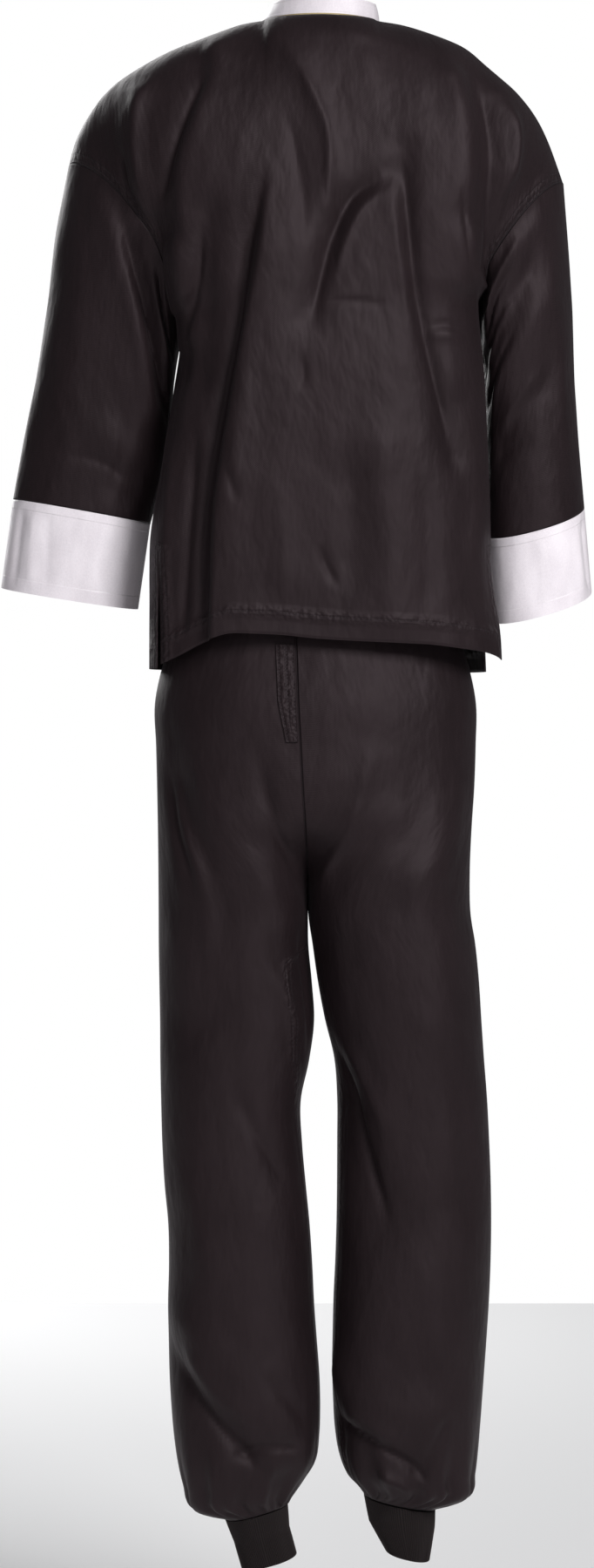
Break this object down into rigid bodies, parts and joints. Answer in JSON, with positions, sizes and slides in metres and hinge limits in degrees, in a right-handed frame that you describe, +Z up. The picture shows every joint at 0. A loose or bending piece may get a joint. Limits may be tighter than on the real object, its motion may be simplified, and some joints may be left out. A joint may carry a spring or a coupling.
{
  "type": "tai chi uniform",
  "caption": "Worn tai chi uniform: loose black jacket with white stand collar and cuffs, and loose trousers gathered into knitted ankle cuffs.",
  "frame": {"origin": "middle of the neck opening, level with the nape, where the wearer's neck and shoulders hold the uniform", "axes": "+Z up along the body, +Y out of the back of the uniform, +X to the wearer's left"},
  "size_m": [0.5755, 0.2473, 1.5044],
  "materials": {
    "black_cloth": "soft twill with a faint sheen",
    "white_cloth": "smooth satin weave",
    "black_knit": "ribbed knit"
  },
  "bodies": {
    "root": {"ankle_rib_left": "black_knit", "ankle_rib_right": "black_knit", "collar": "white_cloth", "cuff_left": "white_cloth", "cuff_right": "white_cloth", "frog_left_1": "white_cloth", "frog_left_2": "white_cloth", "frog_left_3": "white_cloth", "frog_left_4": "white_cloth", "frog_left_5": "white_cloth", "frog_left_6": "white_cloth", "frog_left_7": "white_cloth", "frog_right_1": "white_cloth", "frog_right_2": "white_cloth", "frog_right_3": "white_cloth", "frog_right_4": "white_cloth", "frog_right_5": "white_cloth", "frog_right_6": "white_cloth", "frog_right_7": "white_cloth", "jacket_back": "black_cloth", "jacket_front_left": "black_cloth", "jacket_front_right": "black_cloth", "seat_tape": "black_cloth", "sleeve_left": "black_cloth", "sleeve_right": "black_cloth", "trouser_back_left": "black_cloth", "trouser_back_right": "black_cloth", "trouser_front_left": "black_cloth", "trouser_front_right": "black_cloth", "waistband": "black_cloth"}
  },
  "joints": []
}
